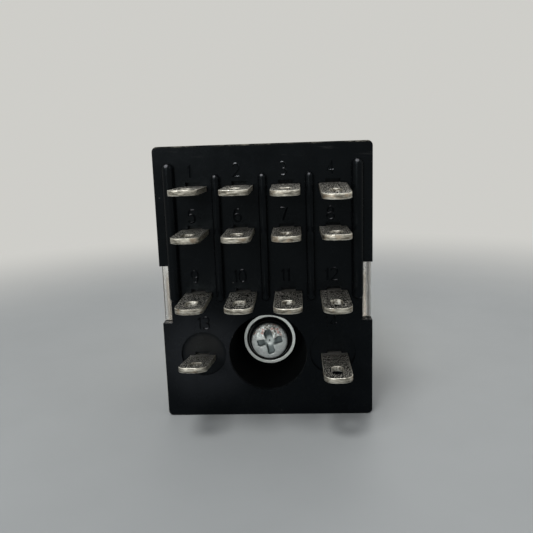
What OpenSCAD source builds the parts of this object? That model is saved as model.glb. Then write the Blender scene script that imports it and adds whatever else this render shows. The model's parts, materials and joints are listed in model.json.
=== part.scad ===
// Plug-in power relay: four changeover poles on fourteen flat blades, under a clear cover.
// It lies on its coil side. X runs across the poles, Y from the blade tips to the closed end
// of the cover, Z up from the coil side. "Depth" is measured along Y from the blade face.

/* [Body] */
// Width of the body across the poles
body_w = 20.6; // [19.5:0.1:22]
// Height of the body from the coil side to the contact side
body_h = 26.9; // [25:0.1:29]
// Length of the body from the blade face to the closed end of the cover
body_len = 35; // [32:0.2:40]
// Radius of the long edges of the body
corner_r = 0.5; // [0.3:0.05:0.8]
// Wall of the clear cover
cover_wall = 0.9; // [0.7:0.05:1.1]
// Radius round the closed end of the cover
cover_end_r = 1.2; // [0.6:0.1:2]

/* [Base] */
// Thickness of the base flange
flange_t = 1.5; // [1.2:0.1:2]
// Depth of the base plug behind the flange
plug_len = 3.1; // [2.8:0.1:3.6]
// Lower end of the side notches
notch_z = 9.75; // [9:0.25:10.5]
// Length of the side notches
notch_len = 5.75; // [4.5:0.25:6.5]
// Depth of the side notches
notch_depth = 0.95; // [0.6:0.05:1]
// How far the cover's tongues reach into the side notches
tongue_len = 0.5; // [0.3:0.05:0.9]
// Height of the barrier ribs on the blade face
rib_h = 0.8; // [0.6:0.05:1.2]
// Width of the ribs between the poles
rib_w = 0.8; // [0.6:0.05:1]
// Width of the two outer ribs
edge_rib_w = 1.1; // [0.8:0.05:1.2]
// Distance of the outer ribs from the sides of the body
edge_rib_in = 1.45; // [1.3:0.05:1.6]
// Upper end of the ribs between the poles, above the outer blade row
rib_rise = 1.35; // [0.8:0.05:1.8]
// Upper end of the outer ribs, above the outer blade row
edge_rib_rise = 2.5; // [1.5:0.1:2.8]
// Lower end of all ribs, below the common blade row
rib_drop = 0.6; // [0.3:0.1:1]
// Height of the insulating walls between the poles inside
barrier_h = 8.4; // [5:0.2:9]
// Thickness of the insulating walls inside
barrier_t = 0.7; // [0.5:0.05:0.9]
// Diameter of the shallow recesses round the coil blades
pad_d = 4.5; // [4:0.1:4.8]
// Depth of the shallow recesses round the coil blades
pad_depth = 0.3; // [0.15:0.05:0.5]
// How far these recesses lie nearer the middle than their blades
pad_in = 0.2; // [0:0.05:0.3]

/* [Blades] */
// Distance between blade columns
pitch = 4.4; // [4.3:0.05:4.5]
// Height of the coil blade row
coil_row_z = 6; // [5.8:0.05:6.3]
// From the normally closed row up to the contact side of the body
nc_row_in = 4.05; // [3.8:0.05:4.4]
// From the normally open row up to the normally closed row
nc_row_gap = 4.1; // [4:0.05:4.4]
// Place of the common row between the coil row and the normally open row
com_row_share = 0.51; // [0.48:0.01:0.54]
// Blade width
blade_w = 2.6; // [2.2:0.05:2.8]
// Blade thickness
blade_t = 0.5; // [0.4:0.05:0.6]
// Blade length in front of the base
blade_len = 6.3; // [5.5:0.1:7]
// Radius of the blade corners at the tip
tip_r = 1.05; // [0.6:0.05:1.1]
// Eyelet width
eyelet_w = 1.1; // [0.9:0.05:1.4]
// Eyelet length
eyelet_len = 2; // [1.5:0.1:2.4]
// Eyelet centre from the blade tip
eyelet_back = 2.05; // [1.8:0.05:2.8]

/* [Screw] */
// Height of the screw and coil axis
axis_z = 6.5; // [6.4:0.05:6.8]
// Diameter of the screw recess at its mouth
recess_d = 7.8; // [7.4:0.1:8]
// Diameter of the screw recess at its floor
recess_floor_d = 7; // [6.4:0.1:7.2]
// Depth of the screw recess
recess_depth = 5.2; // [4.8:0.1:5.4]
// Base thickness under the screw
seat_t = 1; // [0.8:0.1:1.6]
// Diameter of the dished plain washer
washer_d = 5.5; // [5.3:0.1:6]
// Thickness of the plain washer under the screw
washer_t = 0.3; // [0.2:0.05:0.4]
// Width of the plain washer's raised rim
washer_rim_w = 0.33; // [0.25:0.01:0.4]
// Height of the plain washer's raised rim
washer_rim_h = 0.35; // [0.2:0.05:0.5]
// Lock washer thickness
lock_t = 0.45; // [0.35:0.05:0.6]
// Screw head diameter
head_d = 3.8; // [3.5:0.1:4]
// Screw head height
head_h = 1.2; // [1:0.1:1.5]
// Screw thread diameter
screw_d = 2.5; // [2.2:0.1:2.6]
// Thread length inside the core
thread_len = 4; // [3:0.5:7]

/* [Magnet] */
// Core diameter
core_d = 4.2; // [3.8:0.1:4.6]
// Diameter of the core's rivet end in the yoke plate
rivet_d = 3; // [2.4:0.1:3.4]
// Pole plate thickness
pole_t = 1.2; // [1:0.1:1.4]
// Yoke plate thickness
yoke_t = 1.1; // [0.9:0.1:1.3]
// Half width of the yoke plate and its ears
yoke_half = 6; // [5.8:0.1:6.4]
// Half width of the armature neck between the ears
neck_half = 4.25; // [3.8:0.05:4.5]
// Half width of the pole plate
pole_half = 4.9; // [4.5:0.1:5]
// Armature thickness
armature_t = 1.1; // [0.9:0.1:1.2]
// Air gap between pole plate and armature at rest
pole_gap = 0.95; // [0.95:0.01:1]

/* [Coil] */
// Room between the return spring's tab and the closed end of the cover
end_room = 1.8; // [1:0.1:2.6]
// Half height of the bobbin flanges
flange_half = 4.9; // [4.85:0.05:5]
// Bobbin flange thickness
bobbin_flange_t = 0.9; // [0.7:0.05:1.1]
// Bobbin tube wall
bobbin_wall = 0.55; // [0.4:0.05:0.7]
// Diameter of the bare winding
winding_d = 9; // [8:0.1:9.1]
// Thickness of the tape round the winding
tape_t = 0.2; // [0.1:0.05:0.25]
// Winding left bare at each end of the tape
tape_in = 0.9; // [0.5:0.1:1.5]
// Coil lead wire diameter
wire_d = 0.3; // [0.2:0.05:0.4]

/* [Contacts] */
// Contact height above the inner floor of the base
contact_h = 6; // [5.4:0.1:6.4]
// Contact head diameter
contact_d = 2.4; // [2:0.1:2.6]
// Head height of the normally closed contacts
nc_head = 0.7; // [0.6:0.05:0.75]
// Head height of the moving contacts, each side
moving_head = 0.6; // [0.5:0.05:0.65]
// Open gap of the normally open contacts at rest
contact_gap = 0.75; // [0.75:0.01:0.85]
// Rivet shank diameter of all contacts
shank_d = 1.4; // [1.1:0.1:1.6]
// Moving spring width
spring_w = 2.6; // [2.2:0.1:2.8]
// Moving spring thickness
spring_t = 0.25; // [0.15:0.05:0.3]

/* [Carrier] */
// Room between the contact carrier and the sides of the cover
carrier_room = 1; // [0.6:0.05:1.4]
// Height of the carrier bar that holds the springs
carrier_bar_len = 6; // [5:0.2:7]
// Thickness of the carrier bar round the springs
carrier_bar_t = 2.8; // [2.4:0.1:3.2]
// Thickness of the carrier's back plate
carrier_back_t = 1.4; // [1.1:0.1:1.6]

/* [Leads and spring] */
// Flexible lead diameter
lead_d = 0.9; // [0.6:0.05:1.1]
// Return spring outer diameter
coil_spring_d = 2; // [1.6:0.1:2.2]
// Return spring wire diameter
coil_spring_wire = 0.28; // [0.2:0.02:0.36]
// Return spring turns
coil_spring_turns = 9; // [6:1:10]

/* [Fits] */
// Clearance round pieces that are pushed together
fit = 0.05; // [0.03:0.01:0.08]
// Clearance of the closed contacts at rest
touch = 0.03; // [0.02:0.01:0.04]

/* [Hidden] */
$fn = 48;
eps = 0.01;
poles = [0:3];

// Tongue and tab of the return spring
hook_out = 1.8;
hook_over = 0.8;
hook_half = 1.5;
hook_r = 0.6;
hook_hole_d = coil_spring_wire + 4 * fit;

// Depths along Y, counted from the blade face
face_y = (blade_len - body_len) / 2;
floor_d = flange_t + plug_len;
seat_d = recess_depth + seat_t;
pole_d1 = seat_d + pole_t;
bobbin_d0 = pole_d1 + fit;
hook_end_d = body_len - cover_wall - end_room;
hook_d = hook_end_d - hook_over;
yoke_d1 = hook_d - hook_out;
yoke_d0 = yoke_d1 - yoke_t;
bobbin_d1 = yoke_d0 - fit;
hinge_d = yoke_d0 + yoke_t / 2;
contact_depth = floor_d + contact_h;
// Normally open contacts sit a little nearer to the base, because the springs swing
no_contact_drop = 0.3;
no_contact_depth = contact_depth - no_contact_drop;
// Terminal arm beyond its contact
arm_end_over = 1.9;

// Heights along Z
nc_z = body_h - nc_row_in;
no_z = nc_z - nc_row_gap;
com_z = coil_row_z + com_row_share * (no_z - coil_row_z);
// Pole plate edge above the bobbin flange
pole_step = 0.15;
pole_edge_z = axis_z + flange_half + pole_step;
armature_z = pole_edge_z + pole_gap;
hinge_z = armature_z - fit - yoke_t / 2;
armature_top_z = armature_z + armature_t;
nc_face_z = nc_z - blade_t / 2;
no_face_z = no_z + blade_t / 2;
moving_crown_z = nc_face_z - nc_head - touch;
spring_z1 = moving_crown_z - moving_head;
spring_z0 = spring_z1 - spring_t;
no_crown_z = spring_z0 - moving_head - contact_gap;
no_head = no_crown_z - no_face_z;

// Base and cover
cover_room = 0.1;
inset = cover_wall + cover_room;
plug_half = body_w / 2 - inset;
edge_rib_x = body_w / 2 - edge_rib_in;
catch_h = 0.7;
catch_len = 3;
catch_land = 0.25;
catch_low_z = 4.5;
catch_high_z = body_h - 5.5;
catch_zs = [catch_low_z, catch_high_z];
// Catches behind the flange: where they start and how far they run
catch_start = 1.15;
catch_run = 1.3;
catch_d0 = flange_t + catch_start;
catch_d1 = catch_d0 + catch_run;
window_room = 0.15;
least_inner_r = 0.2;
inner_end_r = max(cover_end_r - cover_wall, least_inner_r);
// Lock washer inside the rim of the plain washer
lock_room = 0.2;
lock_edge = 0.12;
lock_d = washer_d - 2 * (washer_rim_w + lock_room);
washer_top = recess_depth - washer_t;
lock_top = washer_top - lock_t;
// Clearances round the blades in their slots and round the screw
slot_room = fit;
screw_room = 4 * fit;
base_screw_room = 6 * fit;
// Relief over each blade root
relief_w = 1.4;
relief_h = 0.4;
relief_depth = 0.8;
// Block behind the floor that carries the magnet
pedestal_half = 4.8;
pedestal_room = 0.7;
pedestal_z = com_z - blade_t / 2 - pedestal_room;
barrier_rise = 4;
barrier_z0 = com_z + barrier_rise;
barrier_z1 = body_h - inset;

// Blade columns, and how far use has bent each tip up or down, as a share of the blade's length
mid_pole = 1.5;
columns = [for (i = poles) (i - mid_pole) * pitch];
coil_x = mid_pole * pitch;
nc_bends = [0.016, 0, -0.024, -0.087];
no_bends = [0.016, 0.008, 0.008, 0.016];
com_bends = [0.008, 0, -0.008, -0.016];
coil_bends = [0.184, 0];

// Magnet and moving part
carrier_half = body_w / 2 - cover_wall - carrier_room;
ear_room = 0.15;
ear_over = 0.6;
ear_reach = armature_top_z + ear_over;
yoke_step = 0.3;
yoke_far_z = axis_z - flange_half + yoke_step;
armature_step = 0.2;
armature_d0 = seat_d + armature_step;
neck_d0 = yoke_d0 - ear_room;
neck_d1 = yoke_d1 + ear_room;
shoulder_step = 0.8;
// Carrier bar in front of the pivot, and its back plate in front of the bar
bar_from_hinge = 2.65;
back_reach = 4.5;
bar_d1 = hinge_d - bar_from_hinge;
bar_d0 = bar_d1 - carrier_bar_len;
back_d0 = bar_d0 - back_reach;
bar_z1 = spring_z1 + (carrier_bar_t - spring_t) / 2;
bar_z0 = bar_z1 - carrier_bar_t;
rivet_x = pitch / 2;
carrier_rivet_d = 1.6;
carrier_rivet_depth = (back_d0 + bar_d1) / 2;
// Moving springs beyond their contacts and behind the bar
spring_tip_over = 1.8;
spring_tail_over = 0.7;
spring_tip_d = contact_depth - spring_tip_over;
spring_tail_d = bar_d1 + spring_tail_over;

// Common lug, where the flexible leads end, in the room between the armature and the open arms
lug_room = no_z - blade_t / 2 - armature_top_z;
lug_share = 0.33;
lug_end_share = 0.49;
lug_z = armature_top_z + lug_share * lug_room;
lug_end_z = armature_top_z + lug_end_share * lug_room;
// Flexible lead: it bows down between the ends of the open arms and the carrier bar
lead_start = 0.4;
lead_bow_share = 0.34;
open_arm_d = no_contact_depth + arm_end_over;
lead_top_d = bar_d0 - lead_start;
lead_top_z = spring_z0 - lead_d / 2 - fit;
lead_bow_d = open_arm_d + lead_bow_share * (lead_top_d - open_arm_d);
lead_rings = 14;
lead_sides = 10;

// Coil lead and the post it is wrapped on
post_half = 0.6;
post_len = 5.2;
post_end = floor_d + post_len;
wire_sides = 8;
tape_d = winding_d + 2 * (tape_t + fit);
wire_depth = bobbin_d0 + bobbin_flange_t + fit + wire_d / 2;

// Moves a shape from its depth behind the blade face to its place along Y
module at_depth(depth) {
    translate([0, face_y + depth, 0]) children();
}

// A round bar along Y between two depths
module bar_y(d, d0, d1) {
    at_depth(d0) rotate([-90, 0, 0]) cylinder(d = d, h = d1 - d0);
}

// A block between two depths, given its X and Z limits
module block(x0, x1, d0, d1, z0, z1) {
    translate([x0, face_y + d0, z0]) cube([x1 - x0, d1 - d0, z1 - z0]);
}

// A rectangle with four round corners, drawn from its middle
module round_rect(w, h, r) {
    square([w - 2 * r, h], center = true);
    square([w, h - 2 * r], center = true);
    for (x = [-1, 1], y = [-1, 1]) translate([x * (w / 2 - r), y * (h / 2 - r)]) circle(r);
}

// A rectangle from (-w/2, 0) to (w/2, h) with its two upper corners round
module tab_outline(w, h, r) {
    translate([-w / 2, 0]) square([w, h - r]);
    translate([r - w / 2, h - r - eps]) square([w - 2 * r, r + eps]);
    for (x = [-1, 1]) translate([x * (w / 2 - r), h - r]) circle(r);
}

// A prism along Y with round long edges, from one depth to another
module round_prism(w, h, r, d0, d1) {
    at_depth(d0) translate([0, 0, h / 2]) rotate([-90, 0, 0])
        linear_extrude(d1 - d0) round_rect(w, h, r);
}

// The box of a cover: a prism whose far end is round in both directions
module cover_form(w, h, d1, r_long, r_end) {
    reach = d1 - flange_t;
    intersection() {
        round_prism(w, h, r_long, flange_t, d1);
        at_depth(flange_t) linear_extrude(h) tab_outline(w, reach, r_end);
        at_depth(flange_t) translate([w / 2, 0, h / 2]) rotate([0, -90, 0])
            linear_extrude(w) tab_outline(h, reach, r_end);
    }
}

// Points, directions and side directions along a swept wire
function unit(v) = v / norm(v);
function directions(p) = [for (i = [0:len(p) - 1])
    unit(p[min(i + 1, len(p) - 1)] - p[max(i - 1, 0)])];
function across(n, t) = unit(n - t * (n * t));
function sides_of(t, n0) = [for (i = 0, n = across(n0, t[0]); i < len(t);
    i = i + 1, n = across(n, t[min(i, len(t) - 1)])) n];

// A wire of round section swept along points
module wire_along(p, d, sides, first_side) {
    t = directions(p);
    n = sides_of(t, first_side);
    last = len(p) - 1;
    ring = [for (i = [0:last], k = [0:sides - 1])
        p[i] + d / 2 * (cos(360 * k / sides) * n[i] + sin(360 * k / sides) * cross(t[i], n[i]))];
    skin = [for (i = [0:last - 1], k = [0:sides - 1]) let (a = i * sides, b = a + sides, m = (k + 1) % sides)
        [a + k, b + k, b + m, a + m]];
    near_cap = [for (k = [0:sides - 1]) k];
    far_cap = [for (k = [0:sides - 1]) last * sides + sides - 1 - k];
    polyhedron(ring, concat([near_cap], skin, [far_cap]));
}

// A rib along Z on the blade face, with a round crest and round ends
module face_rib(x, w, z0, z1) {
    r = w / 2;
    block(x - r, x + r, r - rib_h, eps, z0 + r, z1 - r);
    for (z = [z0 + r, z1 - r]) {
        translate([x, face_y + r - rib_h, z]) sphere(r);
        translate([x, face_y + r - rib_h, z]) rotate([-90, 0, 0]) cylinder(r = r, h = rib_h - r + eps);
    }
    translate([x, face_y + r - rib_h, z0 + r]) cylinder(r = r, h = z1 - z0 - w);
}

// The slot of one blade through the base, with the small relief over its root
module blade_slot(x, z) {
    block(x - blade_w / 2 - slot_room, x + blade_w / 2 + slot_room, -eps, seat_d + eps,
        z - blade_t / 2 - slot_room, z + blade_t / 2 + slot_room);
    block(x - relief_w / 2, x + relief_w / 2, -eps, relief_depth, z, z + blade_t / 2 + relief_h);
}

// One catch of the base plug, a wedge that snaps into a window of the cover
module catch(side, z) {
    root = side * (plug_half - eps);
    crest = side * (plug_half + catch_h);
    translate([0, face_y, z - catch_len / 2]) linear_extrude(catch_len)
        polygon([[root, catch_d0], [crest, catch_d0], [crest, catch_d0 + catch_land], [root, catch_d1]]);
}

module base_block() {
    color([0.07, 0.07, 0.075]) difference() {
        union() {
            round_prism(body_w, body_h, corner_r, 0, flange_t);
            translate([0, 0, inset])
                round_prism(2 * plug_half, body_h - 2 * inset, corner_r, flange_t - eps, floor_d);
            block(-pedestal_half, pedestal_half, floor_d - eps, seat_d, yoke_far_z, pedestal_z);
            for (x = [-pitch, 0, pitch]) {
                block(x - barrier_t / 2, x + barrier_t / 2, floor_d - eps, floor_d + barrier_h,
                    barrier_z0, barrier_z1);
                face_rib(x, rib_w, com_z - rib_drop, nc_z + rib_rise);
            }
            for (x = [-edge_rib_x, edge_rib_x])
                face_rib(x, edge_rib_w, com_z - rib_drop, nc_z + edge_rib_rise);
            for (side = [-1, 1], z = catch_zs) catch(side, z);
        }
        for (side = [-1, 1])
            block(side * body_w / 2 - notch_depth, side * body_w / 2 + notch_depth,
                -rib_h - eps, flange_t + eps, notch_z, notch_z + notch_len);
        for (x = columns, z = [com_z, no_z, nc_z]) blade_slot(x, z);
        for (side = [-1, 1]) {
            blade_slot(side * coil_x, coil_row_z);
            translate([side * (coil_x - pad_in), face_y - eps, coil_row_z + blade_t]) rotate([-90, 0, 0])
                cylinder(d = pad_d, h = pad_depth + eps);
        }
        translate([0, face_y, axis_z]) rotate([-90, 0, 0])
            cylinder(d1 = recess_d, d2 = recess_floor_d, h = recess_depth);
        translate([0, 0, axis_z]) bar_y(screw_d + base_screw_room, 0, seat_d + eps);
    }
}

// The cover, with a tongue in each side notch of the flange and windows for the catches
module clear_cover() {
    color([0.85, 0.9, 0.92, 0.3]) difference() {
        union() {
            cover_form(body_w, body_h, body_len, corner_r, cover_end_r);
            for (side = [-1, 1])
                translate([side * (body_w - notch_depth + fit) / 2, face_y + flange_t + eps,
                    notch_z + notch_len / 2]) rotate([90, 0, 0])
                    linear_extrude(tongue_len + eps)
                        square([notch_depth - fit, notch_len - 2 * fit], center = true);
        }
        translate([0, -eps, cover_wall])
            cover_form(body_w - 2 * cover_wall, body_h - 2 * cover_wall, body_len - cover_wall,
                corner_r, inner_end_r);
        for (side = [-1, 1], z = catch_zs)
            block(side * body_w / 2 - 2 * cover_wall, side * body_w / 2 + 2 * cover_wall,
                catch_d0 - window_room, catch_d1 + window_room,
                z - catch_len / 2 - window_room, z + catch_len / 2 + window_room);
    }
}

// A dished washer: its raised rim stands round the lock washer
module plain_washer() {
    color([0.72, 0.74, 0.73]) translate([0, 0, axis_z]) difference() {
        bar_y(washer_d, washer_top - washer_rim_h, recess_depth);
        bar_y(washer_d - 2 * washer_rim_w, washer_top - washer_rim_h - eps, washer_top);
        bar_y(screw_d + screw_room, 0, seat_d);
    }
}

// A split ring with a chamfered rim and its two ends cut on the slant
module lock_washer() {
    split_w = 0.25;
    split_turn = 200;
    split_slant = 20;
    color([0.06, 0.06, 0.06]) translate([0, 0, axis_z]) difference() {
        union() {
            bar_y(lock_d, lock_top + lock_edge, washer_top);
            at_depth(lock_top) rotate([-90, 0, 0])
                cylinder(d1 = lock_d - 2 * lock_edge, d2 = lock_d, h = lock_edge);
        }
        bar_y(screw_d + 2 * fit, 0, seat_d);
        at_depth(washer_top - lock_t / 2) rotate([0, split_turn, 0]) rotate([0, 0, split_slant])
            translate([-split_w / 2, -lock_d, 0]) cube([split_w, 2 * lock_d, lock_d]);
    }
}

module base_screw() {
    dome_r = 4;
    cross_l = 2.5;
    cross_w = 0.65;
    cross_depth = 0.8;
    cross_turn = 8;
    color([0.7, 0.7, 0.68]) translate([0, 0, axis_z]) difference() {
        union() {
            intersection() {
                bar_y(head_d, lock_top - head_h, lock_top);
                at_depth(lock_top - head_h + dome_r) sphere(dome_r, $fn = 96);
            }
            bar_y(screw_d, lock_top - eps, pole_d1 + thread_len);
        }
        for (turn = [cross_turn, cross_turn + 90])
            at_depth(lock_top - head_h + cross_depth / 2) rotate([0, turn, 0])
                cube([cross_l, cross_depth + eps, cross_w], center = true);
    }
}

module pole_plate() {
    color([0.62, 0.62, 0.6]) difference() {
        block(-pole_half, pole_half, seat_d, pole_d1, yoke_far_z, pole_edge_z);
        translate([0, 0, axis_z]) bar_y(screw_d + screw_room, 0, body_len);
    }
}

module core() {
    drill_over = 1;
    color([0.6, 0.6, 0.58]) translate([0, 0, axis_z]) difference() {
        union() {
            bar_y(core_d, pole_d1, yoke_d0);
            bar_y(rivet_d, yoke_d0 - eps, yoke_d1);
        }
        bar_y(screw_d + fit, 0, pole_d1 + thread_len + drill_over);
    }
}

// Flat plate riveted on the core. Its round edge between two ears is the armature's pivot, and
// a tab bent up at the other end holds the return spring.
module yoke_plate() {
    color([0.66, 0.66, 0.64]) difference() {
        union() {
            block(-yoke_half, yoke_half, yoke_d0, yoke_d1, yoke_far_z, hinge_z);
            translate([-yoke_half, face_y + hinge_d, hinge_z]) rotate([0, 90, 0])
                cylinder(d = yoke_t, h = 2 * yoke_half);
            block(-yoke_half, -neck_half - ear_room, yoke_d0, yoke_d1, hinge_z, ear_reach);
            block(neck_half + ear_room, yoke_half, yoke_d0, yoke_d1, hinge_z, ear_reach);
            translate([0, face_y + yoke_d1 - eps, yoke_far_z]) linear_extrude(yoke_t)
                tab_outline(2 * hook_half, hook_end_d - yoke_d1, hook_r);
        }
        translate([0, 0, axis_z]) bar_y(rivet_d + fit, 0, body_len);
        translate([0, face_y + hook_d, 0]) cylinder(d = hook_hole_d, h = body_h);
    }
}

module coil_bobbin() {
    flange_h = 2 * flange_half;
    flange_over = 0.4;
    flange_r = 1;
    color([0.9, 0.88, 0.82]) difference() {
        union() {
            for (d0 = [bobbin_d0, bobbin_d1 - bobbin_flange_t])
                translate([0, 0, axis_z - flange_half])
                    round_prism(flange_h + flange_over, flange_h, flange_r, d0, d0 + bobbin_flange_t);
            translate([0, 0, axis_z]) bar_y(core_d + 2 * fit + 2 * bobbin_wall, bobbin_d0, bobbin_d1);
        }
        translate([0, 0, axis_z]) bar_y(core_d + 2 * fit, 0, body_len);
    }
}

// A sleeve round the coil axis, between the bobbin flanges and short of both by shy
module coil_sleeve(d_out, d_in, shy) {
    translate([0, 0, axis_z]) difference() {
        bar_y(d_out, bobbin_d0 + bobbin_flange_t + shy, bobbin_d1 - bobbin_flange_t - shy);
        bar_y(d_in, 0, body_len);
    }
}

module coil_winding() {
    color([0.72, 0.38, 0.16]) coil_sleeve(winding_d, core_d + 4 * fit + 2 * bobbin_wall, fit);
}

module coil_tape() {
    color([0.9, 0.75, 0.25]) coil_sleeve(tape_d, winding_d + 2 * fit, tape_in);
}

// Wire from the coil to its post: side is -1 for terminal 13 and 1 for terminal 14
module coil_lead(side) {
    y = face_y + wire_depth;
    from_x = winding_d / 2 + fit;
    to_x = coil_x - post_half - fit;
    color([0.7, 0.33, 0.12])
        wire_along([[side * from_x, y, axis_z], [side * (from_x + to_x) / 2, y + wire_d, axis_z],
            [side * (to_x - wire_d), y + wire_d, coil_row_z], [side * to_x, y + wire_d, coil_row_z]],
            wire_d, wire_sides, [0, 1, 0]);
}

// A terminal strip, drawn from its root at the blade face. Its plan inside the base is the child, and
// the blade in front is bent up or down at the root, with a round tip and an eyelet.
module terminal_strip(bend, reach) {
    half = blade_t / 2;
    tip = bend * blade_len;
    intersection() {
        linear_extrude(2 * body_h, center = true) difference() {
            union() {
                mirror([0, 1]) tab_outline(blade_w, blade_len, tip_r);
                children();
            }
            translate([0, eyelet_back - blade_len]) round_rect(eyelet_w, eyelet_len, eyelet_w / 2 - eps);
        }
        translate([-blade_w, 0, 0]) rotate([90, 0, 90]) linear_extrude(2 * blade_w)
            polygon([[-blade_len, tip - half], [0, -half], [reach, -half],
                [reach, half], [0, half], [-blade_len, tip + half]]);
    }
}

// A terminal whose inner end is an arm with a riveted contact
module arm_terminal(x, z, bend, contact_at) {
    reach = contact_at + arm_end_over;
    color([0.8, 0.76, 0.68]) translate([x, face_y, z]) terminal_strip(bend, reach) difference() {
        tab_outline(blade_w, reach, tip_r);
        translate([0, contact_at]) circle(d = shank_d + 2 * fit);
    }
}

module nc_terminal(i) {
    arm_terminal(columns[i], nc_z, nc_bends[i], contact_depth);
}

module no_terminal(i) {
    arm_terminal(columns[i], no_z, no_bends[i], no_contact_depth);
}

// A terminal bent over on the inner floor into a lug for the flexible lead
module com_terminal(i) {
    color([0.8, 0.76, 0.68]) {
        translate([columns[i], face_y, com_z]) terminal_strip(com_bends[i], floor_d + blade_t)
            translate([-blade_w / 2, 0]) square([blade_w, floor_d + blade_t]);
        block(columns[i] - blade_w / 2, columns[i] + blade_w / 2, floor_d, floor_d + blade_t,
            com_z - blade_t / 2, lug_end_z);
    }
}

// A terminal with a narrow post for the coil lead
module coil_terminal(side) {
    color([0.8, 0.76, 0.68]) translate([side * coil_x, face_y, coil_row_z])
        terminal_strip(coil_bends[side < 0 ? 0 : 1], post_end) {
            translate([-blade_w / 2, 0]) square([blade_w, floor_d]);
            translate([-post_half, 0]) square([2 * post_half, post_end]);
        }
}

// A contact head along Z with a crowned face at z = h
module contact_head(h) {
    crown_r = 4;
    intersection() {
        cylinder(d = contact_d, h = h);
        translate([0, 0, h - crown_r]) sphere(crown_r, $fn = 96);
    }
}

// A fixed contact: the head on one face of the arm, the shank through it, a flat tail behind
module fixed_contact(h) {
    tail_h = 0.25;
    tail_step = 0.5;
    color([0.86, 0.86, 0.84]) {
        contact_head(h);
        translate([0, 0, -blade_t - eps]) cylinder(d = shank_d, h = blade_t + 2 * eps);
        translate([0, 0, -blade_t - tail_h]) cylinder(d = contact_d - tail_step, h = tail_h);
    }
}

module nc_contact(i) {
    translate([columns[i], face_y + contact_depth, nc_face_z]) mirror([0, 0, 1]) fixed_contact(nc_head);
}

module no_contact(i) {
    translate([columns[i], face_y + no_contact_depth, no_face_z]) fixed_contact(no_head);
}

// A moving contact, with a head on both faces of its spring
module moving_contact(i) {
    color([0.86, 0.86, 0.84]) translate([columns[i], face_y + contact_depth, 0]) {
        translate([0, 0, spring_z1]) contact_head(moving_head);
        translate([0, 0, spring_z0]) mirror([0, 0, 1]) contact_head(moving_head);
        translate([0, 0, spring_z0 - eps]) cylinder(d = shank_d, h = spring_t + 2 * eps);
    }
}

module moving_spring(i) {
    reach = spring_tail_d - spring_tip_d;
    color([0.8, 0.55, 0.3]) translate([columns[i], face_y, spring_z0]) linear_extrude(spring_t)
        difference() {
            translate([0, spring_tail_d]) mirror([0, 1]) tab_outline(spring_w, reach, tip_r);
            translate([0, contact_depth]) circle(d = shank_d + 2 * fit);
        }
}

// Steel plate that hangs on the yoke's round edge: wide beside the coil, necked between the
// ears, with a tongue beyond them for the return spring
module armature_plate() {
    shoulder_half = yoke_half - shoulder_step;
    color([0.66, 0.66, 0.64]) difference() {
        union() {
            block(-yoke_half, yoke_half, armature_d0, neck_d0, armature_z, armature_top_z);
            block(-neck_half, neck_half, neck_d0 - eps, neck_d1 + eps, armature_z, armature_top_z);
            block(-shoulder_half, shoulder_half, neck_d1, neck_d1 + shoulder_step,
                armature_z, armature_top_z);
            translate([0, face_y + neck_d1, armature_z]) linear_extrude(armature_t)
                tab_outline(2 * hook_half, hook_end_d - neck_d1, hook_r);
        }
        translate([0, face_y + hook_d, 0]) cylinder(d = hook_hole_d, h = body_h);
        for (x = [-rivet_x, rivet_x])
            translate([x, face_y + carrier_rivet_depth, 0])
                cylinder(d = carrier_rivet_d + 2 * fit, h = body_h);
    }
}

// Moulded carrier: a back plate on the armature, webs between the poles, and a bar round the springs
module contact_carrier() {
    web_t = 0.9;
    bar_edge = 0.5;
    color([0.1, 0.1, 0.1]) difference() {
        union() {
            block(-yoke_half, yoke_half, back_d0, bar_d1, armature_top_z, armature_top_z + carrier_back_t);
            translate([0, face_y + bar_d1, 0]) rotate([90, 0, 0]) linear_extrude(carrier_bar_len)
                polygon([[-carrier_half, armature_top_z], [carrier_half, armature_top_z],
                    [carrier_half, bar_z1 - bar_edge], [carrier_half - bar_edge, bar_z1],
                    [bar_edge - carrier_half, bar_z1], [-carrier_half, bar_z1 - bar_edge]]);
        }
        for (x = columns)
            block(x - pitch / 2 + web_t / 2, x + pitch / 2 - web_t / 2, bar_d0 - eps, bar_d1 + eps,
                armature_top_z + carrier_back_t, bar_z0);
        for (x = columns)
            block(x - spring_w / 2 - fit, x + spring_w / 2 + fit, bar_d0 - eps, bar_d1 + eps,
                spring_z0 - fit, spring_z1 + fit);
        for (x = [-rivet_x, rivet_x])
            translate([x, face_y + carrier_rivet_depth, armature_top_z - eps])
                cylinder(d = carrier_rivet_d + 2 * fit, h = carrier_back_t + 2 * eps);
    }
}

// Two rivets that hold the carrier on the armature
module carrier_rivets() {
    rivet_head_h = 0.4;
    rivet_head_over = 0.5;
    rivet_head_d = carrier_rivet_d + 2 * rivet_head_over;
    rivet_len = armature_t + carrier_back_t;
    color([0.75, 0.74, 0.7]) for (x = [-rivet_x, rivet_x])
        translate([x, face_y + carrier_rivet_depth, 0]) {
            translate([0, 0, armature_z - rivet_head_h]) cylinder(d = rivet_head_d, h = rivet_head_h);
            translate([0, 0, armature_z - eps]) cylinder(d = carrier_rivet_d, h = rivet_len + 2 * eps);
            translate([0, 0, armature_top_z + carrier_back_t]) cylinder(d = rivet_head_d, h = rivet_head_h);
        }
}

// Flexible lead: down along the moving spring, over the open arm and onto the common lug
module pigtail(i) {
    x = columns[i];
    ends = [[x, lead_top_d, lead_top_z], [x, lead_bow_d, lead_top_z], [x, lead_bow_d, lug_z],
        [x, floor_d + blade_t + fit, lug_z]];
    route = [for (k = [0:lead_rings]) let (s = k / lead_rings, r = 1 - s)
        r * r * r * ends[0] + 3 * r * r * s * ends[1] + 3 * r * s * s * ends[2] + s * s * s * ends[3]];
    color([0.75, 0.42, 0.22]) at_depth(0) wire_along(route, lead_d, lead_sides, [1, 0, 0]);
}

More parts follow.
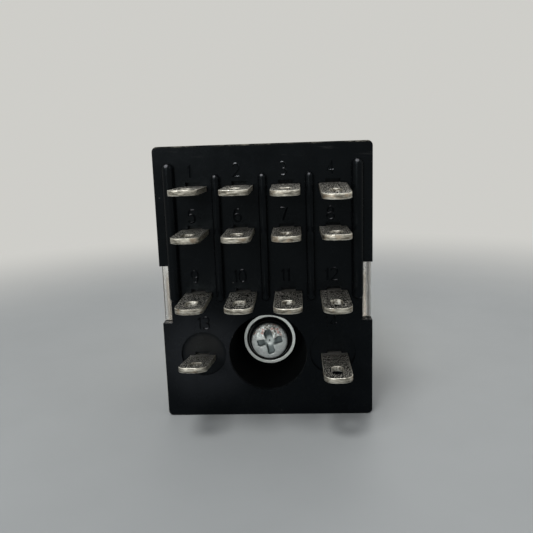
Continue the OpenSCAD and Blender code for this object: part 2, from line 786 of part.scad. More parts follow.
// Tension spring from the yoke's tab to the armature's tongue
module return_spring() {
    steps = 12;
    sides = 6;
    loop_len = 1.3;
    straight = 0.4;
    r = (coil_spring_d - coil_spring_wire) / 2;
    z0 = yoke_far_z + yoke_t + loop_len;
    z1 = armature_z - loop_len;
    last = coil_spring_turns * steps;
    turns = [for (k = [0:last]) let (a = 360 * k / steps, grow = min(1, k / steps, (last - k) / steps))
        [r * grow * sin(a), r * grow * cos(a), z0 + (z1 - z0) * k / last]];
    route = concat([[0, 0, yoke_far_z], [0, 0, z0 - straight]], turns,
        [[0, 0, z1 + straight], [0, 0, armature_top_z]]);
    color([0.8, 0.8, 0.78]) at_depth(hook_d) wire_along(route, coil_spring_wire, sides, [1, 0, 0]);
}

base_block();
clear_cover();
base_screw();
lock_washer();
plain_washer();
pole_plate();
core();
yoke_plate();
coil_bobbin();
coil_winding();
coil_tape();
coil_lead(-1);  // coil_lead_13
coil_lead(1);  // coil_lead_14
coil_terminal(-1);  // coil_terminal_13
coil_terminal(1);  // coil_terminal_14
for (i = poles) nc_terminal(i);
for (i = poles) no_terminal(i);
for (i = poles) com_terminal(i);
for (i = poles) nc_contact(i);
for (i = poles) no_contact(i);
armature_plate();
contact_carrier();
carrier_rivets();
for (i = poles) moving_spring(i);
for (i = poles) moving_contact(i);
for (i = poles) pigtail(i);
return_spring();
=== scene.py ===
# Plug-in power relay, lying on its coil side with the blades towards the camera.
import json
import math

import bmesh
import bpy
from mathutils import Matrix, Vector, noise


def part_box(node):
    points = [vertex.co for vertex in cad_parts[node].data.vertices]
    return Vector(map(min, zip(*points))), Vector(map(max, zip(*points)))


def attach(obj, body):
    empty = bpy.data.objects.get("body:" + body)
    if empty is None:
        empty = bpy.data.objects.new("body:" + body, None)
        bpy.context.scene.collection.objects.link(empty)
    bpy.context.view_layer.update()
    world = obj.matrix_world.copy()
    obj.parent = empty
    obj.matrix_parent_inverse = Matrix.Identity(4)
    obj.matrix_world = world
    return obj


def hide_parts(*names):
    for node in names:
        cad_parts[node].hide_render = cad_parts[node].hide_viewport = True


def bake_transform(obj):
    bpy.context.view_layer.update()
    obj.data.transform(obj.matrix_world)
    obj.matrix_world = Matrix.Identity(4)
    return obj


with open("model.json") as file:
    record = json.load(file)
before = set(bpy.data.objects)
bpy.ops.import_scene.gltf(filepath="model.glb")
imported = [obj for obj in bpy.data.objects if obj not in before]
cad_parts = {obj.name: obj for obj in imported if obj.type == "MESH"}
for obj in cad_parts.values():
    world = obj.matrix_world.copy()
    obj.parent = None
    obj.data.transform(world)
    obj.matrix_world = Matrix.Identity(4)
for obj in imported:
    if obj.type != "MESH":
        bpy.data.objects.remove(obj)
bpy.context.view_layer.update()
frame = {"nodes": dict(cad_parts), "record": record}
nodes = frame["nodes"]
mm = 0.001

relay = {                      # sizes of the model in mm, as in the part's source
    "bladeLen": 6.3,
    "pitch": 4.4,
    "ribHeight": 0.8,
    "axisZ": 6.5,
}
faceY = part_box("base_block")[0].y + relay["ribHeight"] * mm     # the face that the blades stand on
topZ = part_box("base_block")[1].z
axisZ = relay["axisZ"] * mm
columns = [(i - 1.5) * relay["pitch"] * mm for i in range(4)]
print("frame loaded:", len(nodes), "nodes")


# camera and studio

camera = {
    "place": (3.14, -70.876, 26.44),    # mm
    "yaw": -0.053,
    "pitch": -0.195,
    "roll": -0.033,
    "lens": 40.4,
    "sensor": 36,
    "near": 1,                 # mm
    "far": 20000,
}


def placeCamera():
    yaw, pitch, roll = camera["yaw"], camera["pitch"], camera["roll"]
    ahead = Vector((math.sin(yaw) * math.cos(pitch), math.cos(yaw) * math.cos(pitch), math.sin(pitch)))
    level = Vector((math.cos(yaw), -math.sin(yaw), 0))
    upright = level.cross(ahead)
    right = level * math.cos(roll) + upright * math.sin(roll)
    up = upright * math.cos(roll) - level * math.sin(roll)
    data = bpy.data.cameras.new("camera")
    data.lens = camera["lens"]
    data.sensor_width = camera["sensor"]
    data.clip_start = camera["near"] * mm
    data.clip_end = camera["far"] * mm
    eye = bpy.data.objects.new("camera", data)
    turn = Matrix((right, up, -ahead)).transposed().to_4x4()
    eye.matrix_world = Matrix.Translation(Vector(camera["place"]) * mm) @ turn
    bpy.context.scene.collection.objects.link(eye)
    bpy.context.scene.camera = eye


studio = {
    "floorColour": (0.365, 0.38, 0.38),
    "floorR": 3,               # m
    "floorCorners": 64,
    "floorDrop": 0.02,         # mm below the part
    "floorRough": 0.55,
    "floorGloss": 0.3,
    "mottle": {"size": 9, "detail": 3},
    "mottleStops": (0.35, 0.65),
    "mottleShade": (0.97, 1.0),
    "wallColour": (0.62, 0.615, 0.585),
    "fade": (0.04, 0.12),      # m from the middle, where the floor pales into the wall
    "ambient": 0.34,
    "ambientColour": (0.92, 0.95, 1.0),
    "bounces": 24,             # light runs a long way inside the clear walls
    "aim": (0, -5, 13),        # mm, where the lamps point
    "lamps": (                 # name, place in mm, size in mm, watts
        ("overhead", (-40, -90, 250), 80, 0.28),
        ("front", (-75, -235, 92), 70, 0.18),
        ("frontLeft", (-190, -190, 120), 120, 0.05),
        ("frontRight", (210, -120, 150), 120, 0.05),
        ("behind", (60, 240, 200), 180, 0.13),
    ),
}


def lightWorld(scene):
    world = bpy.data.worlds.new("studioWorld")
    scene.world = world
    world.use_nodes = True
    tree = world.node_tree
    lit = tree.nodes["Background"]
    lit.inputs["Color"].default_value = (*studio["ambientColour"], 1)
    lit.inputs["Strength"].default_value = studio["ambient"]
    seen = addNode(tree, "ShaderNodeBackground")
    seen.inputs["Color"].default_value = (*studio["wallColour"], 1)
    seen.inputs["Strength"].default_value = 1
    mixShaders(tree, seenDirectly(tree), lit, seen, "World Output")


def hangLamps(scene):
    for name, place, size, watts in studio["lamps"]:
        data = bpy.data.lights.new(name, "AREA")
        data.shape = "DISK"
        data.size = size * mm
        data.energy = watts
        lamp = bpy.data.objects.new(name, data)
        lamp.location = Vector(place) * mm
        aim = Vector(studio["aim"]) * mm - lamp.location
        lamp.rotation_euler = aim.to_track_quat("-Z", "Y").to_euler()
        scene.collection.objects.link(lamp)


def layFloor(scene):
    mesh = bpy.data.meshes.new("floor")
    corners, r = studio["floorCorners"], studio["floorR"]
    turns = [math.tau * k / corners for k in range(corners)]
    mesh.from_pydata([(r * math.cos(a), r * math.sin(a), 0) for a in turns], [], [list(range(corners))])
    floor = bpy.data.objects.new("floor", mesh)
    floor.location.z = -studio["floorDrop"] * mm
    scene.collection.objects.link(floor)
    material, tree, shader = newMaterial("floorPale", Roughness=studio["floorRough"],
                                         Specular_IOR_Level=studio["floorGloss"])
    reach = addNode(tree, "ShaderNodeVectorMath", operation="LENGTH")
    tree.links.new(spotOn(tree), reach.inputs[0])
    fade = span(reach.outputs["Value"], *studio["fade"])
    mottle = greys(grain(tree, **studio["mottle"]), studio["mottleStops"], *studio["mottleShade"])
    near = addNode(tree, "ShaderNodeMix", data_type="RGBA", blend_type="MULTIPLY")
    near.inputs[0].default_value = 1
    near.inputs[6].default_value = (*studio["floorColour"], 1)
    tree.links.new(mottle, near.inputs[7])
    feed(shader, Base_Color=near.outputs[2])
    far = addNode(tree, "ShaderNodeEmission")
    far.inputs["Color"].default_value = (*studio["wallColour"], 1)
    mixShaders(tree, both(fade, seenDirectly(tree)), shader, far, "Material Output")
    mesh.materials.append(material)


def buildStudio():
    scene = bpy.context.scene
    scene.view_settings.view_transform = "Standard"
    for kind in ("max_bounces", "glossy_bounces", "transmission_bounces"):
        setattr(scene.cycles, kind, studio["bounces"])
    lightWorld(scene)
    hangLamps(scene)
    layFloor(scene)


# small helpers for node materials

def newMaterial(name, **fixed):
    material = bpy.data.materials.new(name)
    material.use_nodes = True
    tree = material.node_tree
    shader = tree.nodes["Principled BSDF"]
    for socket, value in fixed.items():
        shader.inputs[socket.replace("_", " ")].default_value = value
    return material, tree, shader


def addNode(tree, kind, **settings):
    node = tree.nodes.new(kind)
    for key, value in settings.items():
        setattr(node, key, value)
    return node


def mixShaders(tree, mask, first, second, output):
    mix = addNode(tree, "ShaderNodeMixShader")
    for source, socket in zip((mask, first.outputs[0], second.outputs[0]), mix.inputs):
        tree.links.new(source, socket)
    tree.links.new(mix.outputs[0], tree.nodes[output].inputs["Surface"])


def spotOn(tree):              # place on the piece, in the model's own frame
    return addNode(tree, "ShaderNodeTexCoord").outputs["Object"]


def feed(node, **sources):     # links each source to the input of that name, with _ for a space
    for socket, source in sources.items():
        node.id_data.links.new(source, node.inputs[socket.replace("_", " ")])


def axisOf(source, axis):
    split = addNode(source.id_data, "ShaderNodeSeparateXYZ")
    source.id_data.links.new(source, split.inputs[0])
    return split.outputs[axis]


def maths(operation, *values):         # of numbers and sockets, at least one of them a socket
    tree = next(v for v in values if isinstance(v, bpy.types.NodeSocket)).id_data
    node = addNode(tree, "ShaderNodeMath", operation=operation)
    for socket, value in zip(node.inputs, values):
        if isinstance(value, bpy.types.NodeSocket):
            tree.links.new(value, socket)
        else:
            socket.default_value = value
    return node.outputs[0]


def both(a, b):
    return maths("MULTIPLY", a, b)


def seenDirectly(tree):        # 1 where the camera, a reflection or clear plastic looks at it
    path = addNode(tree, "ShaderNodeLightPath")
    seen = maths("MAXIMUM", path.outputs["Is Camera Ray"], path.outputs["Is Transmission Ray"])
    return maths("MAXIMUM", seen, path.outputs["Is Glossy Ray"])


def span(source, start, stop):         # 0 before start, 1 past stop, smooth between
    node = addNode(source.id_data, "ShaderNodeMapRange", interpolation_type="SMOOTHSTEP")
    source.id_data.links.new(source, node.inputs["Value"])
    node.inputs["From Min"].default_value = start
    node.inputs["From Max"].default_value = stop
    return node.outputs["Result"]


def grain(tree, size, stretch=(1, 1, 1), detail=4, rough=0.55, shift=0):   # lumps of about size mm
    mapping = addNode(tree, "ShaderNodeMapping")
    mapping.inputs["Scale"].default_value = [s / (size * mm) for s in stretch]
    mapping.inputs["Location"].default_value = (shift, shift * 0.7, shift * 1.3)
    tree.links.new(spotOn(tree), mapping.inputs["Vector"])
    cloud = addNode(tree, "ShaderNodeTexNoise")
    cloud.inputs["Scale"].default_value = 1
    cloud.inputs["Detail"].default_value = detail
    cloud.inputs["Roughness"].default_value = rough
    tree.links.new(mapping.outputs[0], cloud.inputs["Vector"])
    return cloud.outputs["Fac"]


def blots(tree, stops, **lumps):       # a grain made into a mask
    return span(grain(tree, **lumps), *stops)


def specks(tree, spacing, radius, share):      # sparse dust: one dot in some of the cells
    mapping = addNode(tree, "ShaderNodeMapping")
    mapping.inputs["Scale"].default_value = [1 / (spacing * mm)] * 3
    tree.links.new(spotOn(tree), mapping.inputs["Vector"])
    cells = addNode(tree, "ShaderNodeTexVoronoi")
    cells.inputs["Scale"].default_value = 1
    tree.links.new(mapping.outputs[0], cells.inputs["Vector"])
    dot = maths("LESS_THAN", cells.outputs["Distance"], radius / spacing)
    chosen = maths("LESS_THAN", axisOf(cells.outputs["Color"], 0), share)
    return both(dot, chosen)


def twoTone(source, stops, dark, light):       # from dark to light between two stops
    node = addNode(source.id_data, "ShaderNodeValToRGB")
    for element, stop, colour in zip(node.color_ramp.elements, stops, (dark, light)):
        element.position = stop
        element.color = (*colour, 1)
    source.id_data.links.new(source, node.inputs[0])
    return node.outputs["Color"]


def greys(source, stops, first, second):       # the same for a plain number, such as roughness
    return twoTone(source, stops, (first,) * 3, (second,) * 3)


def blendColour(mask, a, b):
    tree = mask.id_data
    node = addNode(tree, "ShaderNodeMix", data_type="RGBA")
    tree.links.new(mask, node.inputs[0])
    for socket, value in ((node.inputs[6], a), (node.inputs[7], b)):
        if isinstance(value, tuple):
            socket.default_value = (*value, 1)
        else:
            tree.links.new(value, socket)
    return node.outputs[2]


def relief(shader, height, depth, strength=1.0):   # depth in mm
    node = addNode(shader.id_data, "ShaderNodeBump")
    node.inputs["Distance"].default_value = depth * mm
    node.inputs["Strength"].default_value = strength
    feed(node, Height=height)
    feed(shader, Normal=node.outputs[0])


def pebble(shader, depth, **lumps):    # relief of one grain
    relief(shader, grain(shader.id_data, **lumps), depth)


def facing(tree, axis):        # how far the surface turns to an axis of the model, 0 to 1
    geometry = addNode(tree, "ShaderNodeNewGeometry")
    return maths("ABSOLUTE", axisOf(geometry.outputs["Normal"], axis))


# masks by place, in mm

def behindFace(tree, start, stop):     # by the depth behind the blade face
    return span(axisOf(spotOn(tree), 1), faceY + start * mm, faceY + stop * mm)


def atHeight(tree, start, stop, origin=0):
    return span(axisOf(spotOn(tree), 2), origin + start * mm, origin + stop * mm)


def fromScrewLine(tree, x=0):          # distance from a line along Y at the screw's height
    spot = spotOn(tree)
    aside = maths("SUBTRACT", axisOf(spot, 0), x * mm)
    above = maths("SUBTRACT", axisOf(spot, 2), axisZ)
    return maths("SQRT", maths("ADD", both(aside, aside), both(above, above)))


def atRadius(tree, start, stop, x=0):
    return span(fromScrewLine(tree, x), start * mm, stop * mm)


# finishes: sizes and depths are in mm, and stops say where a grain turns from dark to light

evenStops = (0.3, 0.7)

baseFinish = {
    "dark": (0.0014, 0.0018, 0.0023),
    "light": (0.0030, 0.0036, 0.0043),
    "carrierDark": (0.012, 0.011, 0.010),
    "carrierLight": (0.022, 0.020, 0.018),
    "clouds": {"size": 3.5, "detail": 5},
    "cloudStops": (0.3, 0.75),
    "gloss": 0.078,
    "glossTint": (0.80, 0.93, 1.0, 1),
    "smears": {"size": 1.2, "detail": 6},
    "rough": (0.20, 0.31),
    "pebble": {"size": 0.14, "detail": 3, "depth": 0.006},
    "dust": (0.10, 0.10, 0.095),
    "dustDots": (1.1, 0.045, 0.14),    # spacing, radius, share of places with a dot
}

faceWearAndLight = {
    "front": (0.45, 0.1),      # depth to which the wear and the painted light reach
    "chipsAndEdgeGlint": (0.27, 0.255, 0.21),       # pale chips along the upper edge, partly a painted highlight of the lit edge
    "nickBand": (-0.17, -0.04),
    "nicks": {"size": 0.6, "stretch": (0.4, 1, 1), "detail": 7, "rough": 0.8, "stops": (0.42, 0.6)},
    "clusters": {"size": 3.2, "detail": 4, "shift": 8, "stops": (0.34, 0.6)},
    "rubbedAndLit": (0.020, 0.020, 0.020),   # streaks under the edge
    "rubbedBand": (-2.4, 0),
    "streaks": {"size": 0.35, "stretch": (0.08, 1, 1), "detail": 5, "shift": 3, "stops": (0.6, 0.7)},
    "padLight": (0.030, 0.0295, 0.028),     # painted light on the recess round the left coil blade
    "padX": -6.4,
    "padR": (2.15, 1.72),
    "padBand": (-1.5, 1.2),
    "leftLight": (0.0125, 0.0135, 0.0155),  # weaker painted light on the face round it
    "leftLightR": (6.2, 2.15),
    "leftLightDepth": (-0.03, -0.005),      # not on the numbers
    "wellShade": (0.0004, 0.0004, 0.0005),  # painted shade in the well of the screw
    "wellRough": (1.0, 1.0, 1.0),
    "wellR": (4.4, 4.2),
    "wellDepth": (0.1, 0.6),
    "bare": (0.17, 0.17, 0.18),        # painted highlight where raised forms turn up and forward, towards the lamps
    "bareWay": (-0.09, -0.80, 0.59),
    "bareTurn": (0.91, 0.995),
    "ribDepth": (-0.03, -0.3),
    "digitDepth": (0, -0.03),
    "scuffsAndGlintBreaks": {"size": 0.4, "shift": 21, "stops": (0.42, 0.62)},
    "ribGlintBreak": 0.5,           # share of the painted highlight on the ribs that is broken up
}


def blackMoulding(name, dark, light, wearAndLight=None):
    finish = baseFinish
    material, tree, shader = newMaterial(name, Specular_IOR_Level=finish["gloss"],
                                         Specular_Tint=finish["glossTint"])
    colour = twoTone(grain(tree, **finish["clouds"]), finish["cloudStops"], dark, light)
    sheen = greys(grain(tree, **finish["smears"]), evenStops, *finish["rough"])
    if wearAndLight:
        colour, sheen = wearAndLight(tree, colour, sheen)
    dust = specks(tree, *finish["dustDots"])
    feed(shader, Base_Color=blendColour(dust, colour, finish["dust"]), Roughness=sheen)
    pebble(shader, **finish["pebble"])
    return material


def wornFace(tree, colour, sheen):     # adds the wear of the blade face to the black moulding, with painted highlights, painted light and painted shade
    wearAndLight = faceWearAndLight
    front = behindFace(tree, *wearAndLight["front"])
    # pale chips on the upper edge, partly a painted highlight
    high = atHeight(tree, *wearAndLight["nickBand"], topZ)
    chipsAndEdgeGlint = blots(tree, **wearAndLight["nicks"])
    cluster = blots(tree, **wearAndLight["clusters"])
    chipped = both(both(high, front), both(chipsAndEdgeGlint, cluster))
    colour = blendColour(chipped, colour, wearAndLight["chipsAndEdgeGlint"])
    streak = blots(tree, **wearAndLight["streaks"])
    under = atHeight(tree, *wearAndLight["rubbedBand"], topZ)
    colour = blendColour(both(streak, under), colour, wearAndLight["rubbedAndLit"])
    # painted light from the left, on the face round the left coil blade and on its recess
    leftLight = both(front, atRadius(tree, *wearAndLight["leftLightR"], wearAndLight["padX"]))
    leftLight = both(leftLight, behindFace(tree, *wearAndLight["leftLightDepth"]))
    colour = blendColour(leftLight, colour, wearAndLight["leftLight"])
    # painted highlights on the ribs' upper ends and on the numbers, chosen by how the surface turns to the
    # lamps
    turned = addNode(tree, "ShaderNodeVectorMath", operation="DOT_PRODUCT")
    tree.links.new(addNode(tree, "ShaderNodeNewGeometry").outputs["Normal"], turned.inputs[0])
    turned.inputs[1].default_value = wearAndLight["bareWay"]
    scuffAndGlintGrain = blots(tree, **wearAndLight["scuffsAndGlintBreaks"])
    broken = maths("MULTIPLY_ADD", scuffAndGlintGrain, wearAndLight["ribGlintBreak"], 1 - wearAndLight["ribGlintBreak"])
    ribs = both(behindFace(tree, *wearAndLight["ribDepth"]), broken)
    digits = both(behindFace(tree, *wearAndLight["digitDepth"]), scuffAndGlintGrain)
    bare = both(span(turned.outputs["Value"], *wearAndLight["bareTurn"]), maths("MAXIMUM", ribs, digits))
    colour = blendColour(bare, colour, wearAndLight["bare"])
    # painted shade in the screw's well, with full roughness
    wellShade = both(atRadius(tree, *wearAndLight["wellR"]), behindFace(tree, *wearAndLight["wellDepth"]))
    colour = blendColour(wellShade, colour, wearAndLight["wellShade"])
    sheen = blendColour(wellShade, sheen, wearAndLight["wellRough"])
    padLight = both(front, atRadius(tree, *wearAndLight["padR"], wearAndLight["padX"]))
    padLight = both(padLight, atHeight(tree, *wearAndLight["padBand"], axisZ))
    return blendColour(padLight, colour, wearAndLight["padLight"]), sheen


bladeFinish = {
    "faceDark": (0.42, 0.41, 0.375),   # the worn broad faces
    "faceLight": (0.66, 0.64, 0.585),
    "faceRough": (0.255, 0.60),        # the smooth face, and the marks on it
    "faceTurn": (0.86, 0.97),
    "scratches": {"size": 0.08, "stretch": (1, 0.35, 1), "detail": 3, "rough": 0.6},
    "scratchStops": (0.52, 0.58),
    "pits": {"size": 0.22, "stretch": (1, 0.6, 1), "detail": 5, "rough": 0.75, "shift": 7},
    "markDeep": 0.03,
    "markStrength": 0.9,
    "soil": (0.075, 0.069, 0.053),     # in the pits, thicker in some patches
    "soilStops": (0.49, 0.56),
    "soilThin": 0.1,
    "soilThick": 0.3,
    "patches": {"size": 2.6, "detail": 3, "shift": 29, "stops": (0.38, 0.6)},
    "handled": (0.3, -0.3),            # depth at which the blade leaves the base
    "cleanDark": (0.50, 0.49, 0.46),   # inside the cover
    "cleanLight": (0.62, 0.61, 0.58),
    "cleanStops": (0.40, 0.60),
    "cleanMarks": 0.25,
    "plainRough": (0.62, 0.34),
    "plainStops": (0.35, 0.65),
    "sideDark": (0.104, 0.097, 0.077),
    "sideLight": (0.535, 0.517, 0.45),
    "shear": {"size": 0.7, "stretch": (0.6, 1, 4), "detail": 6, "rough": 0.7, "shift": 3},
    "shearStops": (0.40, 0.60),        # lines left by the punch
    "stain": (0.30, 0.21, 0.13),
    "stainShare": 0.45,
    "stains": {"size": 0.9, "detail": 4, "shift": 13, "stops": (0.52, 0.64)},
    "edge": (0.86, 0.84, 0.75),        # worn bright between a face and a side
    "edgeTurn": (0.2, 0.45),
    "edgeWear": {"size": 0.8, "detail": 4, "shift": 17, "stops": (0.36, 0.5)},
    "holeDark": (0.10, 0.09, 0.07),
    "holeLight": (0.48, 0.465, 0.42),
    "holeStops": (0.44, 0.58),
    "holeFrom": (0.8, 1.0),            # behind the tip, where the walls of the eyelet begin
    "holeTurn": (0.3, 0.6),
    "rubbedAndLit": (0.77, 0.75, 0.69),      # painted highlight in the eyelets of the common blades, between two heights
    "rubs": {"size": 0.5, "stretch": (1, 1, 1.6), "detail": 5, "rough": 0.7, "shift": 37},
    "eyeletGlintStops": (0.42, 0.56),
    "eyeletGlintLow": (9.5, 10.0),
    "eyeletGlintHigh": (15.5, 15.0),
}


def tinnedBlade():
    finish = bladeFinish
    material, tree, shader = newMaterial("tinnedBlade", Metallic=1.0)
    scratch = grain(tree, **finish["scratches"])
    pit = grain(tree, **finish["pits"])
    face = twoTone(scratch, finish["scratchStops"], finish["faceDark"], finish["faceLight"])
    patch = blots(tree, **finish["patches"])
    soiled = maths("MULTIPLY_ADD", patch, finish["soilThick"], finish["soilThin"])
    soiled = both(soiled, span(pit, *finish["soilStops"]))
    face = blendColour(soiled, face, finish["soil"])
    handled = behindFace(tree, *finish["handled"])
    clean = twoTone(scratch, finish["cleanStops"], finish["cleanDark"], finish["cleanLight"])
    face = blendColour(handled, clean, face)
    shear = grain(tree, **finish["shear"])
    side = twoTone(shear, finish["shearStops"], finish["sideDark"], finish["sideLight"])
    stain = blots(tree, **finish["stains"])
    stain = maths("MULTIPLY", stain, finish["stainShare"])
    side = blendColour(stain, side, finish["stain"])
    wall = twoTone(pit, finish["holeStops"], finish["holeDark"], finish["holeLight"])
    # painted highlight on the eyelet walls of the common row
    rub = grain(tree, **finish["rubs"])
    rubbedAndLit = twoTone(rub, finish["eyeletGlintStops"], finish["holeDark"], finish["rubbedAndLit"])
    common = both(atHeight(tree, *finish["eyeletGlintLow"]), atHeight(tree, *finish["eyeletGlintHigh"]))
    wall = blendColour(common, wall, rubbedAndLit)
    inside = behindFace(tree, *(far - relay["bladeLen"] for far in finish["holeFrom"]))
    hole = both(inside, span(facing(tree, 1), *finish["holeTurn"]))
    side = blendColour(hole, side, wall)
    up = facing(tree, 2)
    broad = span(up, *finish["faceTurn"])
    rim = both(span(up, *finish["edgeTurn"]), maths("SUBTRACT", 1, broad))
    brightEdge = both(rim, blots(tree, **finish["edgeWear"]))
    colour = blendColour(brightEdge, blendColour(broad, side, face), finish["edge"])
    feed(shader, Base_Color=colour)
    plain = greys(scratch, finish["plainStops"], *finish["plainRough"])
    marked = greys(scratch, finish["scratchStops"], *finish["faceRough"])
    dull = blendColour(both(broad, handled), plain, marked)
    feed(shader, Roughness=dull)
    share = maths("MULTIPLY_ADD", handled, 1 - finish["cleanMarks"], finish["cleanMarks"])
    marks = both(maths("ADD", scratch, pit), share)
    relief(shader, marks, finish["markDeep"], finish["markStrength"])
    return material


metalFinish = {                # the plain metals inside
    "lines": {"size": 0.12, "detail": 5},
    "lineShare": 0.5,
    "lineDeep": 0.004,
    "clouds": {"size": 1.6, "detail": 4, "shift": 5},
    "shadeStops": (0.5, 1.0),
    "brushed": (1, 0.06, 1),   # lines along Y
    "even": (1, 1, 1),
    "kinds": {                 # slot: name, dark, light, roughness of dark and light, how its lines run
        "magnet_steel": ("nickelIron", (0.40, 0.40, 0.39), (0.74, 0.73, 0.71), (0.42, 0.28), "brushed"),
        "braided_copper": ("braidedCopper", (0.42, 0.17, 0.08), (0.82, 0.42, 0.24), (0.42, 0.25), "even"),
        "contact_silver": ("contactSilver", (0.58, 0.57, 0.54), (0.90, 0.89, 0.86), (0.4, 0.22), "even"),
        "spring_bronze": ("springBronze", (0.42, 0.25, 0.11), (0.80, 0.54, 0.28), (0.38, 0.24), "brushed"),
        "spring_steel": ("springSteel", (0.40, 0.40, 0.39), (0.76, 0.75, 0.73), (0.34, 0.2), "even"),
        "solder": ("solder", (0.50, 0.50, 0.49), (0.80, 0.80, 0.78), (0.34, 0.16), "even"),
    },
}


def plainMetal(name, dark, light, rough, lay):
    finish = metalFinish
    material, tree, shader = newMaterial(name, Metallic=1.0)
    line = grain(tree, stretch=finish[lay], **finish["lines"])
    cloud = grain(tree, **finish["clouds"])
    shade = maths("MULTIPLY_ADD", line, finish["lineShare"], cloud)
    colour = twoTone(shade, finish["shadeStops"], dark, light)
    feed(shader, Base_Color=colour, Roughness=greys(cloud, evenStops, *rough))
    relief(shader, line, finish["lineDeep"])
    return material


screwFinish = {
    "dark": (0.70, 0.765, 0.74),
    "light": (0.95, 1.0, 0.97),
    "metal": 0.42,
    "clouds": {"size": 0.55, "detail": 6, "rough": 0.65},
    "cloudStops": (0.36, 0.6),
    "rough": (0.56, 0.40),
    "dents": {"size": 0.16, "detail": 5, "shift": 2, "depth": 0.012},
    "upper": (-0.1, 1.0),              # above the axis, where the bruised half begins
    "scar": (0.22, 0.20, 0.165),
    "scarShare": 0.85,
    "scars": {"size": 0.38, "detail": 6, "rough": 0.7, "shift": 5, "stops": (0.47, 0.58)},
    "flush": (0.60, 0.25, 0.20),       # reddish rub marks
    "flushShare": 0.7,
    "rubs": {"size": 0.4, "detail": 4, "shift": 11, "stops": (0.56, 0.62)},
    "crossShade": (0.14, 0.17, 0.17),        # painted shade in the cross, below the dome
    "crossShadeDepth": (0.08, 0.26),
    "heart": (0.66, 0.72, 0.70),       # where the arms meet
    "heartR": (0.66, 0.3),
    "dot": (0.05, 0.055, 0.055),
    "dotR": (0.126, 0.063),
}


def zincScrew():
    finish = screwFinish
    material, tree, shader = newMaterial("zincScrew", Metallic=finish["metal"])
    cloud = grain(tree, **finish["clouds"])
    colour = twoTone(cloud, finish["cloudStops"], finish["dark"], finish["light"])
    upper = atHeight(tree, *finish["upper"], axisZ)
    scar = both(upper, blots(tree, **finish["scars"]))
    colour = blendColour(both(scar, finish["scarShare"]), colour, finish["scar"])
    rub = both(upper, blots(tree, **finish["rubs"]))
    colour = blendColour(both(rub, finish["flushShare"]), colour, finish["flush"])
    # painted shade deeper in the cross
    r = fromScrewLine(tree)
    dome = maths("MULTIPLY", both(r, r), 1 / (2 * screw["domeR"] * mm))
    crown = faceY + screw["headTop"] * mm
    below = maths("SUBTRACT", axisOf(spotOn(tree), 1), crown)
    below = maths("SUBTRACT", below, dome)
    floor = blendColour(atRadius(tree, *finish["heartR"]), finish["crossShade"], finish["heart"])
    floor = blendColour(atRadius(tree, *finish["dotR"]), floor, finish["dot"])
    crossShade = span(below, *(depth * mm for depth in finish["crossShadeDepth"]))
    feed(shader, Base_Color=blendColour(crossShade, colour, floor))
    feed(shader, Roughness=greys(cloud, evenStops, *finish["rough"]))
    pebble(shader, **finish["dents"])
    return material


washerFinish = {
    "dark": (0.80, 0.86, 0.82),        # the dished washer
    "light": (0.96, 1.0, 0.97),
    "metal": 0.85,
    "rough": 0.42,
    "clouds": {"size": 0.6, "detail": 5},
    "dishShade": (0.012, 0.012, 0.012),     # painted shade in the dish behind the rim
    "dishShadeDepth": (4.58, 4.68),
    "oxideDark": (0.0025, 0.0025, 0.003),      # the split washer
    "oxideLight": (0.008, 0.008, 0.009),
    "oxideMetal": 0.5,
    "oxideRough": 0.45,
    "oxideGloss": 0.12,
    "oxideClouds": {"size": 0.5, "detail": 5},
    "brightEdge": (0.30, 0.31, 0.30),        # painted highlight on its outer edge, at the lower left
    "brightEdgeR": (2.12, 2.17),
    "brightEdgeLean": 0.75,
    "brightEdgeBand": (0.8, -0.4),
    "pits": {"size": 0.15, "detail": 4, "depth": 0.005},
}


def splitWasher():
    finish = washerFinish
    material, tree, shader = newMaterial("blackOxide", Metallic=finish["oxideMetal"],
                                         Roughness=finish["oxideRough"],
                                         Specular_IOR_Level=finish["oxideGloss"])
    cloud = grain(tree, **finish["oxideClouds"])
    colour = twoTone(cloud, evenStops, finish["oxideDark"], finish["oxideLight"])
    # painted highlight on the split washer's outer edge
    spot = spotOn(tree)
    place = maths("MULTIPLY_ADD", axisOf(spot, 0), finish["brightEdgeLean"], axisOf(spot, 2))
    low = span(place, *(axisZ + height * mm for height in finish["brightEdgeBand"]))
    brightEdge = both(atRadius(tree, *finish["brightEdgeR"]), low)
    feed(shader, Base_Color=blendColour(brightEdge, colour, finish["brightEdge"]))
    pebble(shader, **finish["pits"])
    return material


def dishedWasher():
    finish = washerFinish
    material, tree, shader = newMaterial("dullPlate", Metallic=finish["metal"], Roughness=finish["rough"])
    colour = twoTone(grain(tree, **finish["clouds"]), evenStops, finish["dark"], finish["light"])
    dish = behindFace(tree, *finish["dishShadeDepth"])
    feed(shader, Base_Color=blendColour(dish, colour, finish["dishShade"]))
    pebble(shader, **finish["pits"])
    return material


coverFinish = {
    "dark": (0.955, 0.955, 0.935),
    "light": (0.985, 0.983, 0.97),
    "clouds": {"size": 2.5, "detail": 5},
    "index": 1.55,
    "shadow": (0.94, 0.94, 0.92, 1),   # light that passes straight through
    "scuffsAndGlintBreaks": {"size": 0.25, "stretch": (1, 0.08, 1), "detail": 5, "shift": 4},
    "scuffStops": (0.5, 0.78),
    "rough": (0.015, 0.10),
    "lipDepth": (3.0, 2.5),            # how far back the marks on the lip reach
    "aged": (0.50, 0.43, 0.35),        # browned at the lower end of the side notches
    "agedZ": (15.3, 13.7),
    "lip": {1: (0.52, 0.515, 0.50), -1: (0.74, 0.73, 0.70)},    # its outer part in each notch
    "lipX": {1: 9.80, -1: 9.98},
    "lipFade": 0.05,
    "seam": (0.10, 0.095, 0.085),      # darker line along the fine groove of the lip
    "seamX": {1: 10.02, -1: 10.24},
    "seamWide": {1: 0.20, -1: 0.12},
}


